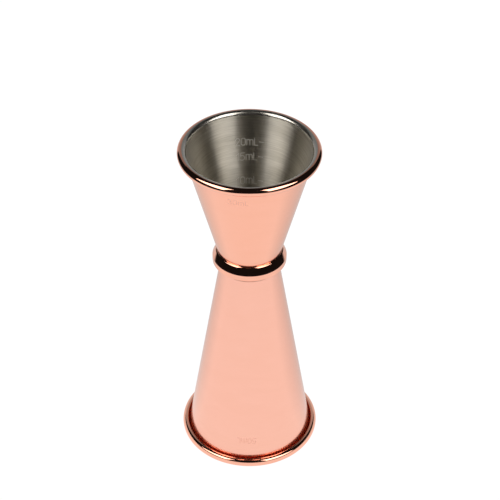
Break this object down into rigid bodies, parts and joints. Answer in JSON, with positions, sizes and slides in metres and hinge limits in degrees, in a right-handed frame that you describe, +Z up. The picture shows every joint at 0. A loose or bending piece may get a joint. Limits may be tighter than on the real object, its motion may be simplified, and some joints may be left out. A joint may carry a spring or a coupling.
{
  "type": "bar jigger",
  "caption": "Double-ended spirit measure: a small cone-shaped cup above a larger inverted one, with rolled rims and a collar round the waist, copper outside and steel inside.",
  "frame": {"origin": "on the axis of the cones, on the surface that the lower rim rests on", "axes": "+Z up along the axis, from the 50 ml cup to the 30 ml cup; -Y is the side that carries the size marks, and the fill lines are read from -Y"},
  "size_m": [0.0478, 0.0476, 0.12],
  "materials": {
    "steel": "bare stainless steel, spun, with fine turning lines round the axis",
    "copper": "polished copper plate over steel",
    "ring_copper": "polished copper plate",
    "braze": "dull brazing metal, hidden"
  },
  "bodies": {
    "root": {"upper_cup": "steel", "lower_cup": "steel", "upper_cup_plating": "copper", "lower_cup_plating": "copper", "waist_ring": "ring_copper", "floor_braze": "braze"}
  },
  "joints": []
}
